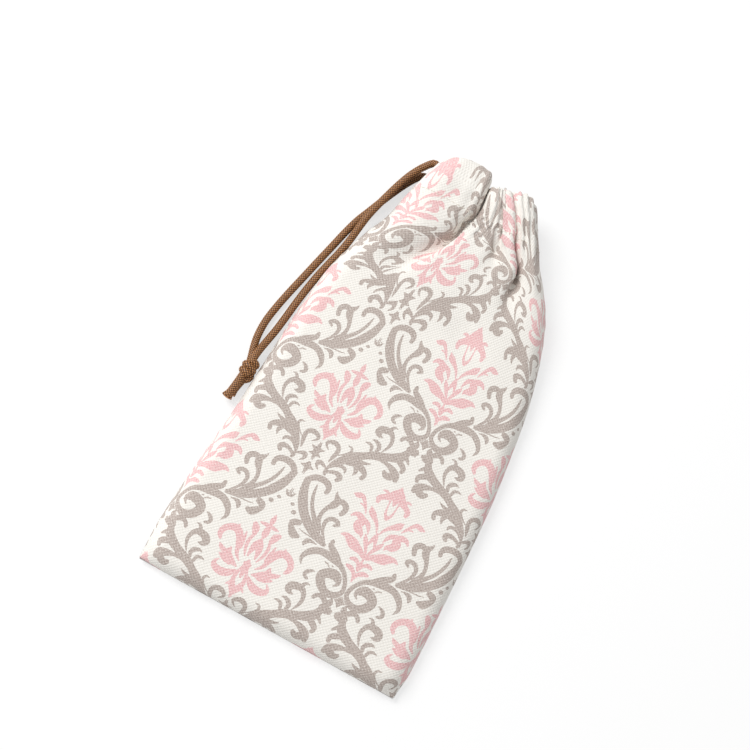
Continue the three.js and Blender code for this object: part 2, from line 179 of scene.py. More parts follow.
def mesh_object(name, corners, faces, material):
    """A smooth object of these corners, which are in mm."""
    mesh = bpy.data.meshes.new(name)
    mesh.from_pydata((np.asarray(corners) * MM).tolist(), [], faces)
    mesh.polygons.foreach_set("use_smooth", [True] * len(mesh.polygons))
    mesh.materials.append(material)
    return placed(name, mesh)


def colour_layer(made, name, domain, values):
    """Keep values from 0 to 1 at each corner, for the material to read."""
    rgba = np.ones((len(values), 4), np.float32)
    rgba[:, :values.shape[1]] = values
    made.data.attributes.new(name, "FLOAT_COLOR", domain).data.foreach_set("color", rgba.ravel())


def linear(hex_colour):
    """An sRGB hex colour as linear RGBA."""
    parts = [int(hex_colour[i:i + 2], 16) / 255 for i in (1, 3, 5)]
    return tuple(c / 12.92 if c <= 0.04045 else ((c + 0.055) / 1.055) ** 2.4 for c in parts) + (1.0,)


def add(tree, kind, settings=None, links=None, **fixed):
    """Add a node, set its own settings and sockets, and link other nodes' outputs into it. In a socket's
    name _ stands for a space, and _1 is socket number 1."""
    node = tree.nodes.new(kind)
    for key, value in (settings or {}).items():
        setattr(node, key, value)
    for key, value in fixed.items():
        socket = int(key[1:]) if key[0] == "_" else key.replace("_", " ")
        node.inputs[socket].default_value = value
    for key, source in (links or {}).items():
        tree.links.new(source, node.inputs[key])
    return node


def maths(tree, operation, links, **fixed):
    """The outcome of one operation on other nodes' outputs."""
    return add(tree, "ShaderNodeMath", {"operation": operation}, links, **fixed).outputs[0]


def noise(tree, place, scale, detail, roughness):
    return add(tree, "ShaderNodeTexNoise", links={"Vector": place}, Scale=scale, Detail=detail,
        Roughness=roughness).outputs["Fac"]


def ramp_between(tree, factor, stops):
    """The colour of a ramp with these (place, hex colour) stops."""
    node = add(tree, "ShaderNodeValToRGB", links={"Fac": factor})
    elements = node.color_ramp.elements
    while len(elements) < len(stops):
        elements.new(0.5)
    for element, (place, colour) in zip(elements, stops):
        element.position = place
        element.color = linear(colour)
    return node.outputs["Color"]


def new_material(name):
    material = bpy.data.materials.new(name)
    material.use_nodes = True
    material.node_tree.nodes.clear()
    return material, material.node_tree


def surfaced(tree, colour, height=None, strength=0.0, depth=0.0, **fixed):
    """End a material in one surface of this colour, raised by the height if there is one."""
    links = {"Base Color": colour}
    if height is not None:
        bump = add(tree, "ShaderNodeBump", links={"Height": height}, Strength=strength, Distance=depth)
        links["Normal"] = bump.outputs["Normal"]
    shader = add(tree, "ShaderNodeBsdfPrincipled", links=links, **fixed)
    add(tree, "ShaderNodeOutputMaterial", links={"Surface": shader.outputs["BSDF"]})


# Braided cord finish: brown rayon ends with a soft sheen. The colour is darkened in the grooves between them
# as painted shade and lightened on each ridge as a painted highlight.
def cord_material():
    material, tree = new_material("braided_rayon_cord")
    look = add(tree, "ShaderNodeAttribute", {"attribute_name": "braid"})
    parts = add(tree, "ShaderNodeSeparateColor", links={"Color": look.outputs["Color"]})
    place = add(tree, "ShaderNodeTexCoord")
    fibres = noise(tree, place.outputs["Object"], 2600.0, 3.0, 0.6)
    # The braid's height picks the colour: near-black painted shade in the grooves and a painted highlight on
    # the ridges.
    groove_shade_ridge_highlight = ramp_between(tree, parts.outputs[0],
        [(0.42, "#160a04"), (0.66, "#5f3819"), (0.84, "#b27a48"), (1.0, "#e9bb87")])
    fibre_tone = add(tree, "ShaderNodeMapRange", links={"Value": fibres},
        From_Min=0.3, From_Max=0.7, To_Min=0.72, To_Max=1.22)
    tone = add(tree, "ShaderNodeMix", {"data_type": "RGBA", "blend_type": "MULTIPLY"},
        {"A": groove_shade_ridge_highlight, "B": fibre_tone.outputs["Result"]}, Factor=1.0)
    surfaced(tree, tone.outputs["Result"], fibres, strength=0.35, depth=0.0001, Roughness=0.52,
        Sheen_Weight=0.25, Sheen_Roughness=0.4, Sheen_Tint=linear("#d9a066"), Specular_IOR_Level=0.45)
    return material


braided_cord = cord_material()


def cord_piece(name, *runs):
    """One object of one or more braided runs (points, how far the far end is spread), and the runs' middle
    lines."""
    corners, faces, looks, lines = [], [], [], []
    for points, end_open in runs:
        first = sum(len(c) for c in corners)
        run_corners, run_faces, run_looks, line = braided(points, end_open)
        faces += [[first + i for i in face] for face in run_faces]
        corners.append(run_corners)
        looks.append(run_looks)
        lines.append(line)
    made = mesh_object(name, np.vstack(corners), faces, braided_cord)
    colour_layer(made, "braid", "POINT", np.vstack(looks))
    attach(made, "root")
    return made, lines


casing_cord, _ = cord_piece("drawstring_in_casing", (CASING_RUN, 0))
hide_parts("casing_cord")
outer_strand, outer_lines = cord_piece("drawstring_outer", (OUTER_STRAND, 0))
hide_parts("outer_strand")
inner_strand, inner_lines = cord_piece("drawstring_inner", (INNER_STRAND, 0))
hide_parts("inner_strand")

# The knot: both strands tied together in one overhand knot and pulled tight, so two turns lie side by side
# over the top and a bend shows beside them. The two short tails lie one on the other, their cut ends opened.
KNOT_CENTRE = (-59.7, 92.6, 4.1)
KNOT_STARTS = math.radians(105)
KNOT_TURNS = 2.15
KNOT_RADIUS = 2.0
KNOT_LENGTH = 6.0
KNOT_FLATNESS = 0.85
KNOT_STEPS = 32
KNOT_BEND = [(-0.4, -0.6, -1.6), (1.5, -1.6, -1.4), (2.2, -3.2, -1.1), (1.2, -4.9, -1.3), (-0.6, -4.9, -1.7)]
UPPER_TAIL = [(-60.3, 91, 4.4), (-60.6, 88, 4.7), (-61, 83, 4.9), (-61.8, 76.8, 4.3)]
LOWER_TAIL = [(-59.4, 91, 2.6), (-59.5, 88, 2.5), (-60.3, 83.6, 2.4), (-61, 79.2, 2.5)]
wound = []
for i in range(KNOT_STEPS + 1):
    t = i / KNOT_STEPS
    a = KNOT_STARTS - 2 * math.pi * KNOT_TURNS * t
    wound.append((KNOT_CENTRE[0] + KNOT_RADIUS * math.cos(a), KNOT_CENTRE[1] + KNOT_LENGTH * (0.5 - t),
        KNOT_CENTRE[2] + KNOT_FLATNESS * KNOT_RADIUS * math.sin(a)))
bend = [tuple(c + d for c, d in zip(KNOT_CENTRE, p)) for p in KNOT_BEND]
cord_knot, _ = cord_piece("drawstring_knot", (wound, 0), (bend, 0), (UPPER_TAIL, 0.8), (LOWER_TAIL, 0.5))
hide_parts("cord_knot")


# The two panels: plain-weave cotton canvas, printed on its outside, sewn wrong side out along both sides and
# the bottom, then turned. Each panel's top edge is folded in and stitched down as the casing, and the drawn
# cord gathers it. The front swells over the folded seams, and the back lies on the table.
CLOTH_WIDTH = 124.0
WALL_LENGTH = 207.0  # of cloth, from the bottom seam to the casing's stitches
CASING_ROUND = 37.0  # of cloth, over the mouth's edge and down inside to the stitches again
ALLOWANCE = 6.0
CLOTH = 0.6
GAP = 0.3
LAYER = CLOTH + GAP
TURN = 0.8  # radius at which a seam allowance turns in
QUARTER_TURN = TURN * 1.57
FOOT = 2 * LAYER + TURN + GAP / 2
SEAM_CLOSED = 0.65  # the front's edge over the back's above the seam allowances, where the right seam is shut
SEAM_TURNS_Y = 176.5
CORD_CLEAR = CORD / 2 + GAP + CLOTH / 2
HEM_CLEAR = 0.1
BACK_CORD_Z = 3.9
STITCH_Y = 197.5
CASING_Y = 206.5
TOP_Y = 220
BACK_MOUTH_Y = 213.2
MOUTH_ROUND = 0.75  # 1 for a round edge at the mouth, less for a squarer one
TIGHT_X = 8.2  # inside the mouth, the cloth beyond this is drawn in by the cord
SLIT_FROM = 186.0
SHOULDER = 11  # of cloth at least, to round up from a seam
BOTTOM_ROUND = 6.5
COLUMN_A = 43.3  # across the cloth, where the blossoms of the print stand one over another
COLUMN_C = 85.0  # across the cloth, where the second crease runs into the casing
# Stations up the pouch: its two edges, the front's height over the table, the height of the side seams, and
# where between the edges the two columns lie
LEFT_EDGE = [(0, -59.4), (15, -60), (48, -58.2), (77, -56), (119, -54.2), (145, -52), (169, -45.6),
    (183, -40), (191, -38.2), (201, -35.4), (208, -33.6), (216, -30.7), (220, -29)]
RIGHT_EDGE = [(0, 60), (12, 61.2), (48, 60.6), (88, 59.2), (116, 56.6), (133, 54.4), (150, 50.8), (167, 45.6),
    (177, 41), (185, 36), (193, 29.6), (202, 23.6), (210, 19.2), (220, 15)]
CROWN = [(0, 9.4), (30, 9.8), (80, 10.2), (120, 10.8), (148, 13), (168, 16.2), (184, 19), (197, 21),
    (206, 23.7), (220, 23.7)]
LEFT_SEAM = [(0, 0.3), (110, 0.3), (150, 1.2), (180, 3.2), (190, 4.4), (220, 4.4)]
RIGHT_SEAM = [(0, 0.3), (110, 0.3), (150, 1.4), (180, 4.2), (197, 7.2), (206, 7.6), (220, 7.6)]
LEFT_SHARE = [(0, 0.335), (120, 0.34), (150, 0.36), (172, 0.41), (195, 0.5), (206, 0.53), (214, 0.535)]
MIDDLE_SHARE = [(206, 0.734), (212, 0.687), (220, 0.68)]
# Stations across the cloth: how far up the front's mouth edge lies
MOUTH_END = [(0, 216.6), (10, 218), (24, 219.4), (35, 218.2), (42, 214.4), (47, 212.9), (60, 213.6),
    (76, 213.9), (85, 212.9), (93, 215.8), (104, 217.6), (115, 216.2), (124, 213.4)]
# Each crease: where it lies in the cloth going up, its half widths left and right, its depth, where it has
# run out and where it is as deep as it gets
LONG_CREASE = [(160, 29), (172, 32.5), (180, 35), (188, 37.5), (194, 42), (199, 46)]
FRONT_CREASES = [(LONG_CREASE, 8, 4, 7.6, 150, 184),
    ([(162, 90), (182, 88), (196, 85.5), (206, COLUMN_C)], 3.4, 6.4, 7.3, 160, 188),
    ([(160, 59), (190, 69), (206, 71)], 4.5, 4.5, 2, 168, 200)]
CASING_HALF = 6.2
FLAP_EDGE = [(176, 84), (184, 80), (190, 75.5), (198, 73)]  # a fold that stands over the pocket
FLAP_HEIGHT = 1.7
POCKET_DEPTH = 2.8
DENT_DEPTH = 1.5
BACK_FOLDS = (17, 35, 53, 71, 89, 107)
BACK_FOLD_HALF = 6.2
BACK_FOLD_HEIGHT = 3
FRONT_CORD = [(p[0], p[2]) for p in CASING_RUN[:7]]


def mix(a, b, t):
    return a + (b - a) * t


def ramp(a, b, t):
    """0 before a, 1 after b, and a smooth rise between them."""
    s = np.clip((t - a) / (b - a), 0, 1)
    return s * s * (3 - 2 * s)


def bell(t):
    return np.exp(-t * t)


def quarter(t):
    """Up a quarter of a round, from 0 at 0 to 1 at 1."""
    return np.sin(np.pi / 2 * np.clip(t, 0, 1))


def at(stations, y):
    """Smooth reading between given stations, without overshoot."""
    s = np.array(stations, float)
    place, value = s[:, 0], s[:, 1]
    y = np.clip(y, place[0], place[-1])
    rise = np.diff(value) / np.diff(place)
    slope = np.zeros(len(place))
    a, b = rise[:-1], rise[1:]
    slope[1:-1] = np.where(a * b > 0, 2 * a * b / np.where(a + b == 0, 1, a + b), 0)
    i = np.clip(np.searchsorted(place, y, side="right") - 1, 0, len(place) - 2)
    h = place[i + 1] - place[i]
    t = (y - place[i]) / h
    return ((2 * t ** 3 - 3 * t ** 2 + 1) * value[i] + (t ** 3 - 2 * t ** 2 + t) * h * slope[i]
        + (3 * t ** 2 - 2 * t ** 3) * value[i + 1] + (t ** 3 - t ** 2) * h * slope[i + 1])


def front_wall(u, y):
    """Height of the front panel above the table."""
    crown = at(CROWN, y)
    left_foot = mix(at(LEFT_SEAM, y) + FOOT, FRONT_CORD[0][1] + CORD_CLEAR + GAP, ramp(SLIT_FROM, 203, y))
    right_foot = at(RIGHT_SEAM, y) + mix(FOOT, SEAM_CLOSED, ramp(SEAM_TURNS_Y, SEAM_TURNS_Y + 6, y))
    z = crown
    for foot, inward in ((left_foot, u), (right_foot, CLOTH_WIDTH - u)):
        reach = np.maximum(SHOULDER, 1.6 * (crown - foot))
        z = z + mix(foot, crown, quarter(inward / reach)) - crown
    for path, left, right, depth, start, deepest in FRONT_CREASES:
        opened = ramp(start, deepest, y)
        middle = at(path, y)
        pinch = 1 + 0.16 * bell((y - 190) / 8)
        free = np.where(u < middle, left, right)
        half = mix(free * mix(1.4, 1, opened), np.minimum(free, CASING_HALF), ramp(192, 202, y))
        z = z - depth * pinch * opened * bell((u - middle) / half)
    return z


def back_wall(u, y):
    """Height of the back panel above the table."""
    left_lift = mix(at(LEFT_SEAM, y), 1, ramp(SLIT_FROM, 203, y)) - CLOTH / 2
    right_lift = at(RIGHT_SEAM, y) - CLOTH / 2
    z = CLOTH / 2
    for lift, inward in ((left_lift, u), (right_lift, CLOTH_WIDTH - u)):
        z = z + lift * (1 - quarter(inward / np.maximum(5, 1.7 * lift)))
    tall = BACK_FOLD_HEIGHT * ramp(140, 186, y) * mix(1, 0.36, ramp(190, 203, y))
    for centre in BACK_FOLDS:
        z = z + tall * bell((u - centre) / BACK_FOLD_HALF)
    return z


WALLS = {"front": front_wall, "back": back_wall}
ROW_STEP = 0.5


def width_used(wall):
    """How far across the pouch each mm of cloth reaches at each height, as cloth that climbs covers less."""
    columns = np.arange(0, CLOTH_WIDTH + 1)
    rows = np.arange(0, TOP_Y + 1, ROW_STEP)
    climb = np.diff(wall(columns[None, :], rows[:, None]), axis=1)
    run = np.cumsum(np.sqrt(np.maximum(0.05, 1 - climb ** 2)), axis=1)
    return np.concatenate([np.zeros((len(rows), 1)), run], 1)


USED = {side: width_used(wall) for side, wall in WALLS.items()}


def across(side, u, y):
    """Where the cloth at u lies across the pouch at height y."""
    used = USED[side]
    row = np.clip(y / ROW_STEP, 0, len(used) - 1.001)
    r = row.astype(int)
    fr = row - r

    def reach(d):
        i = np.clip(np.floor(d).astype(int), 0, used.shape[1] - 2)
        fd = d - i
        return mix(mix(used[r, i], used[r, i + 1], fd), mix(used[r + 1, i], used[r + 1, i + 1], fd), fr)

    u = np.clip(u, 0, CLOTH_WIDTH)
    share = at(LEFT_SHARE, y)
    a = reach(np.full_like(u, COLUMN_A))
    c = reach(np.full_like(u, COLUMN_C))
    total = reach(np.full_like(u, CLOTH_WIDTH))
    d = reach(u)
    free = mix(share, 1, (c - a) / (total - a))
    middle = mix(free, at(MIDDLE_SHARE, y), ramp(197, 208, y)) if side == "front" else free
    bent = np.where(d < a, share * d / a, mix(share, middle, (d - a) / (c - a)))
    bent = np.where(d > c, mix(middle, 1, (d - c) / (total - c)), bent)
    soft = ramp(0, 14, np.abs(u - COLUMN_A))
    t = mix(mix(d / total, bent, 0.75), bent, soft)
    return mix(at(LEFT_EDGE, y), at(RIGHT_EDGE, y), t)


def straight_y(v):
    """How far up the pouch the cloth v up from the bottom seam lies along the side seams."""
    return np.clip(v, 0, WALL_LENGTH) * STITCH_Y / WALL_LENGTH


def wall_y(side, u, v):
    """How far up the pouch the cloth v up from the bottom seam lies, with the front rounded at the bottom."""
    straight = straight_y(v)
    if side == "back":
        return straight
    arc = BOTTOM_ROUND * np.pi / 2
    bend = np.where(v < arc, BOTTOM_ROUND * (1 - np.cos(v / BOTTOM_ROUND)), BOTTOM_ROUND + v - arc)
    middle = bend + (STITCH_Y - (BOTTOM_ROUND + WALL_LENGTH - arc)) * ramp(arc, WALL_LENGTH, v)
    edge = np.minimum(u, CLOTH_WIDTH - u)
    return mix(straight, middle, quarter(edge / 16))


def wall_and_casing(side, u, v):
    """The middle of the cloth at u across from the left seam and v up from the bottom seam, over the mouth's
    edge and down to the hem."""
    wall = WALLS[side]
    up = 1 if side == "front" else -1
    y = wall_y(side, u, np.minimum(v, WALL_LENGTH))
    x = across(side, u, y)
    z = wall(u, y)
    if side == "front":
        z = mix(at(LEFT_SEAM, y) + FOOT, z, quarter(v / (1.5 * BOTTOM_ROUND)))
    q = np.clip((v - WALL_LENGTH) / CASING_ROUND, 0, 1)
    stitch = wall(u, np.full_like(u, STITCH_Y))
    top = wall(u, np.full_like(u, CASING_Y))
    if side == "front":
        end = at(MOUTH_END, u)
        hem = at(FRONT_CORD, across(side, u, np.full_like(u, CASING_Y))) - CORD_CLEAR - HEM_CLEAR
    else:
        end = np.full_like(u, BACK_MOUTH_Y)
        hem = np.full_like(u, BACK_CORD_Z + CORD_CLEAR + HEM_CLEAR)
    # The first quarter of the casing goes up over the cord, half goes round the mouth's edge, and the last
    # quarter comes back under the cord to the stitches
    middle = (top + hem) / 2
    turn = np.clip((q - 0.25) * 2, 0, 1) * np.pi
    cosine = np.cos(turn)
    over_y = CASING_Y + (end - CASING_Y) * np.abs(np.sin(turn)) ** MOUTH_ROUND
    over_z = middle + (top - middle) * np.sign(cosine) * np.abs(cosine) ** MOUTH_ROUND
    back = np.clip((q - 0.75) * 4, 0, 1)
    under_z = mix(hem, stitch - up * LAYER * 1.08, ramp(0.28, 1, back))
    casing_y = np.where(q < 0.25, mix(STITCH_Y, CASING_Y, q * 4),
        np.where(q < 0.75, over_y, mix(CASING_Y, STITCH_Y + 0.8, back)))
    casing_z = np.where(q < 0.25, mix(stitch, top, ramp(0, 0.25, q)), np.where(q < 0.75, over_z, under_z))
    casing_x = across(side, u, casing_y)
    inner = ramp(0.5, 0.7, q) * (1 - ramp(0.86, 1, q)) * ramp(TIGHT_X, 11.4, casing_x)
    drawn_in = mix(casing_x, TIGHT_X + 0.1 * (casing_x - TIGHT_X), inner)
    casing_x = np.where(q > 0.5, np.minimum(casing_x, drawn_in), casing_x)
    in_casing = v > WALL_LENGTH
    return np.stack([np.where(in_casing, casing_x, x), np.where(in_casing, casing_y, y),
        np.where(in_casing, casing_z, z)], 1)


def turned_in(d):
    """How far in the seam allowance lies, d from the seam."""
    return np.where(d < QUARTER_TURN, TURN * (1 - np.cos(d / TURN)), TURN + d - QUARTER_TURN)


def cloth(side, u, v):
    """The middle of the cloth, seam allowances among it: they turn in and lie on each other over the back."""
    u, v = np.asarray(u, float), np.asarray(v, float)
    p = wall_and_casing(side, np.clip(u, 0, CLOTH_WIDTH), np.maximum(v, 0))
    aside = np.maximum(np.maximum(-u, u - CLOTH_WIDTH), 0)
    below = np.maximum(-v, 0)
    d = np.maximum(aside, below)
    sink = TURN * (1 - np.sin(np.minimum(d / TURN, np.pi / 2)))
    lower = -(TURN - sink) if side == "front" else LAYER * (1 - sink / TURN)
    p[:, 2] += np.where(d > 0, lower, 0)
    p[:, 0] += np.where(aside > 0, turned_in(aside) * np.where(u < 0, 1, -1), 0)
    p[:, 1] += np.where(below > 0, turned_in(below), 0)
    return p


def ripples(side, u, v):
    """Small unevenness of the cloth, in mm: slack in the wall, gathers under the casing, puckered seams."""
    y = straight_y(v)
    edge = np.minimum(np.minimum(u, CLOTH_WIDTH - u), v)
    inside = ramp(0, 12, edge)
    slack = 0.22 * np.sin(u / 9.3 + 0.9 * np.sin(v / 21) + 0.4)
    slack = slack * np.sin(v / 15.1 + 0.7 * np.sin(u / 17) + 1.3)
    slack = slack + 0.12 * np.sin(u / 4.7 + v / 11.3 + 2.0) * np.sin(v / 6.9 - u / 19)
    if side == "back":
        slack = slack * 0.4
    gathered = ramp(150, 196, y) * (1 - ramp(236, 243, v))
    gather = 0.34 * np.sin(u / 1.25 + 1.1 * np.sin(u / 6.1) + 0.5 * np.sin(v / 9))
    gather = gather * (0.6 + 0.4 * np.sin(u / 5.3 + 1))
    fine = ramp(184, 197, y) * (1 - ramp(212, 222, v))
    if side == "front":
        # Fine creases that run together into the notch over the cord
        from_crease = u - at(LONG_CREASE, y)
        bunched = ramp(176, 192, y) * (1 - ramp(207, 214, v)) * bell((from_crease - 5) / 11)
        slack = slack + 1.05 * bunched * np.sin(from_crease * 1.75 + 0.6 * np.sin(v / 5)) * np.sin(v / 13 + 1)
        # A pocket under the middle fold, and the fold that stands over it
        slack = slack - POCKET_DEPTH * bell((u - 66) / 3.6) * bell((y - 189) / 4.2)
        beside = u - at(FLAP_EDGE, y)
        flap = ramp(177, 184, y) * (1 - ramp(197, 204, y))
        stands = np.where(beside > 0, np.exp(-np.maximum(beside, 0) / 5), np.exp(np.minimum(beside, 0) / 0.7))
        slack = slack + FLAP_HEIGHT * flap * stands
        # Small deep gathers in the casing beside the cord's tightest place
        tight = ramp(44, 50, u) * ramp(188, 199, y) * (1 - ramp(222, 230, v))
        slack = slack + tight * (0.3 + 0.6 * np.sin(u / 0.95 + 1.3 * np.sin(u / 5.2) + 0.3 * np.sin(v / 6)))
        # A shallow dent below the second crease
        slack = slack - DENT_DEPTH * bell((u - 78 + (y - 146) / 2) / 9) * bell((y - 150) / 7)
    pucker = 0.16 * np.sin(v / 1.5 + 0.8 * np.sin(v / 7)) * bell((edge - 2.2) / 2.4) * ramp(0, 1, edge)
    return inside * slack + inside * gathered * gather * (0.5 + 0.5 * fine) + pucker


# The print: a traditional damask of scrolling acanthus leaves in warm grey that part and meet round two
# flowers in pink, a blossom and a spray. Each leaf is one brush stroke: points along its middle and its width
# there. In the same units a repeat is 247 from the blossom across to the spray and 488 up, mirrored at both.
GREY_STROKES = [
    [(47, 298, 8), (55, 318, 16), (67, 334, 22), (83, 350, 30), (100, 366, 30), (115, 378, 22),
     (135, 391, 24), (155, 399, 26), (175, 408, 24), (195, 418, 28), (209, 430, 26), (215, 445, 20),
     (218, 458, 16)],
    [(77, 334, 6), (90, 340, 14), (105, 346, 18), (120, 346, 22), (135, 340, 18), (142, 331, 14),
     (139, 321, 14)],
    [(113, 340, 16), (117, 327, 12), (114, 316, 4)],
    [(107, 356, 18), (123, 360, 12), (135, 364, 8), (142, 368, 3)],
    [(160, 390, 10), (177, 390, 12), (192, 386, 18), (205, 380, 22), (215, 372, 22), (219, 361, 16)],
    [(211, 372, 20), (202, 363, 24), (191, 360, 19), (184, 366, 14)],
    [(200, 414, 16), (213, 408, 18), (225, 398, 15), (223, 389, 13)],
    [(213, 435, 12), (222, 427, 12), (231, 417, 6)],
    [(218, 455, 24), (231, 455, 24), (239, 456, 12)],
    [(221, 464, 16), (227, 476, 18), (227, 484, 10)],
    [(219, 468, 16), (207, 478, 16), (196, 480, 14), (187, 475, 13), (184, 468, 12)],
    [(152, 413, 4), (160, 428, 9), (164, 445, 12), (160, 462, 14), (150, 472, 18), (135, 472, 22),
     (123, 467, 22), (120, 457, 22), (127, 449, 13), (136, 449, 5)],
    [(148, 470, 14), (148, 483, 12), (155, 491, 8), (163, 490, 3)],
    [(115, 430, 4), (123, 432, 10), (135, 427, 14), (141, 417, 13), (138, 407, 11)],
    [(101, 415, 4), (111, 417, 9), (121, 413, 11), (125, 401, 10)],
    [(25, 346, 4), (17, 353, 8), (13, 362, 11), (21, 369, 14), (35, 371, 16), (47, 364, 14),
     (49, 348, 14), (45, 332, 12), (42, 317, 5)],
    [(57, 346, 5), (67, 355, 6), (76, 364, 8), (81, 374, 9), (77, 382, 8), (67, 383, 4)],
    [(51, 305, 10), (61, 317, 13), (77, 323, 12), (90, 320, 11), (93, 311, 6)],
    [(52, 290, 10), (65, 297, 12), (81, 299, 16), (90, 292, 17), (85, 283, 13)],
    [(48, 296, 10), (47, 286, 11), (50, 281, 10)],
    [(43, 298, 8), (31, 304, 12), (22, 305, 16), (19, 294, 11), (27, 284, 5)],
    [(2, 354, 4), (2, 342, 8), (2, 328, 18), (2, 315, 10), (2, 300, 3)],
    [(-14, 337, 5), (2, 332, 14), (18, 337, 5)],
    [(-12, 316, 5), (2, 319, 14), (16, 316, 5)],
    [(2, 293, 4), (2, 280, 16), (2, 268, 8), (2, 255, 3)],
    [(-14, 277, 5), (2, 279, 14), (18, 277, 5)],
    [(79, 240, 14), (80, 249, 15), (74, 260, 19), (58, 266, 20), (40, 264, 20), (27, 256, 18),
     (20, 244, 18)],
    [(20, 246, 20), (23, 228, 22), (29, 208, 26), (41, 184, 28), (57, 162, 26), (77, 144, 26),
     (100, 130, 26), (123, 120, 22), (141, 113, 14)],
    [(49, 246, 5), (51, 230, 9), (56, 210, 11), (67, 187, 12), (83, 167, 14), (101, 148, 16),
     (113, 134, 14)],
    [(103, 256, 5), (107, 246, 12), (115, 236, 20), (113, 222, 22), (102, 205, 14), (96, 185, 12),
     (98, 165, 14), (108, 143, 18)],
    [(115, 234, 16), (130, 238, 18), (143, 230, 18), (144, 218, 16), (140, 208, 14)],
    [(139, 171, 9), (147, 178, 13), (141, 185, 14), (127, 185, 14), (117, 175, 13), (116, 160, 12),
     (122, 142, 10), (133, 127, 8), (144, 112, 5)],
    [(58, 133, 18), (46, 127, 20), (44, 118, 16), (51, 108, 20), (61, 99, 24), (73, 99, 14)],
    [(67, 119, 3), (81, 116, 5), (97, 115, 5), (115, 112, 3)],
    [(125, 104, 3), (113, 105, 9), (101, 102, 15), (96, 92, 12), (97, 86, 5)],
    [(19, 168, 11), (21, 168, 11)],
    [(32, 150, 14), (34, 150, 14)],
    [(2, 206, 3), (2, 194, 5), (2, 182, 4)],
    [(-9, 196, 4), (-4, 186, 6), (2, 183, 6), (8, 186, 6), (13, 196, 4)],
    [(116, 40, 4), (109, 55, 12), (113, 70, 16), (123, 83, 20), (139, 93, 20), (158, 95, 22),
     (180, 91, 20), (200, 87, 18), (217, 77, 14), (230, 62, 13), (239, 42, 13), (240, 25, 14),
     (227, 10, 18), (207, 5, 22), (190, 13, 24), (178, 28, 26), (175, 42, 26), (187, 53, 28),
     (203, 57, 30), (216, 50, 22), (221, 38, 11), (213, 29, 5)],
    [(158, 133, 12), (158, 122, 16), (169, 112, 20), (185, 102, 18), (200, 90, 12)],
    [(166, 75, 5), (174, 74, 6), (183, 66, 4)],
    [(187, 74, 6), (189, 74, 6)],
    [(155, 40, 5), (145, 36, 11), (137, 26, 13), (139, 17, 11), (147, 14, 9)],
    [(247, 16, 4), (247, 1, 20), (247, -15, 4)],
    [(232, 1, 4), (247, 1, 18), (262, 1, 4)],
]
PINK_STROKES = [
    [(0, 120, 4), (0, 104, 15), (0, 89, 7)],
    [(-25, 85, 5), (-13, 86, 11), (0, 87, 12), (13, 86, 11), (25, 85, 5)],
    [(1, 76, 14), (1, 62, 16), (0, 47, 4)],
    [(34, 74, 14), (28, 66, 20), (24, 52, 14)],
    [(23, 48, 8), (27, 30, 10), (25, 8, 9), (17, -13, 4)],
    [(0, 40, 14), (5, 26, 20), (9, 10, 14), (10, -9, 5)],
    [(23, -31, 4), (36, -18, 10), (43, 2, 14), (50, 22, 19), (58, 34, 21), (71, 40, 21), (86, 35, 18),
     (97, 23, 17), (99, 9, 15), (93, -2, 9)],
    [(66, 52, 6), (70, 40, 14)],
    [(23, -47, 6), (39, -41, 18), (55, -34, 26), (68, -26, 15), (80, -20, 12), (87, -14, 4)],
    [(56, -10, 6), (57, -24, 18), (55, -34, 20)],
    [(43, -46, 16), (60, -42, 16), (75, -37, 6)],
    [(19, -58, 9), (30, -69, 18), (45, -76, 22), (62, -76, 20), (75, -69, 15), (75, -59, 9), (69, -51, 4)],
    [(0, -20, 10), (-3, -32, 16), (0, -48, 14), (0, -66, 8)],
    [(34, 0, 4), (36, 14, 7), (40, 30, 8), (42, 44, 5)],
    [(7, -38, 5), (12, -58, 9), (14, -78, 12), (9, -94, 18), (0, -106, 18), (0, -124, 4)],
    [(11, -86, 14), (25, -98, 4)],
    [(247, 352, 5), (247, 338, 22), (240, 325, 28), (229, 315, 22), (215, 307, 16), (205, 298, 16),
     (206, 287, 11)],
    [(247, 330, 20), (247, 312, 18), (247, 296, 5)],
    [(222, 320, 10), (213, 324, 8), (206, 322, 5)],
    [(231, 318, 12), (235, 300, 5), (236, 285, 5), (239, 268, 8), (247, 256, 12)],
    [(143, 276, 5), (154, 277, 16), (165, 280, 14), (176, 271, 10), (186, 257, 8), (195, 241, 3)],
    [(169, 260, 4), (181, 259, 7), (189, 250, 5)],
    [(199, 267, 4), (208, 253, 20), (219, 244, 15), (230, 234, 11), (239, 220, 7), (243, 208, 3)],
    [(164, 219, 5), (172, 228, 13), (185, 229, 18), (196, 219, 22), (191, 205, 24), (199, 193, 22),
     (211, 187, 10), (213, 177, 3)],
    [(199, 225, 14), (213, 219, 14), (221, 206, 9), (225, 194, 3)],
    [(166, 162, 5), (177, 166, 14), (190, 162, 22), (203, 155, 30), (217, 149, 24), (230, 144, 17),
     (241, 132, 5)],
    [(221, 192, 4), (227, 180, 13), (235, 165, 11), (242, 149, 8), (247, 128, 6)],
    [(247, 210, 4), (246, 196, 13), (241, 182, 9), (238, 168, 4)],
    [(218, 117, 9), (229, 120, 13), (240, 113, 9), (247, 98, 10)],
    [(218, 96, 9), (229, 95, 14), (240, 87, 11), (247, 78, 12), (247, 62, 4)],
    [(247, 130, 6), (248, 115, 8), (247, 98, 11)],
]
THINNER = {"grey": 1.6, "pink": 0.6}  # how much each brush's marks are narrower than drawn above
NARROWEST = 2.2
REPEAT_ACROSS = 247.0
REPEAT_UP = 488.0
UNIT_ACROSS = 39.35 / REPEAT_ACROSS  # mm
UNIT_UP = 78.5 / REPEAT_UP
REPEAT_FOOT = 26.4  # mm up from the bottom seam to where four scrolls meet
OUTLINE_STEP = 5.0
DISC_STEP = 1.2
FIELD_REACH = 14
FAR_OUTSIDE = 60.0


def brush_stroke(points, thinner, step):
    """The stroke as closely spaced discs (x, y, radius) along a smooth line."""
    line, _ = smooth_line(points, step)
    line[:, 2] = np.maximum(line[:, 2] - thinner, NARROWEST) / 2
    return line


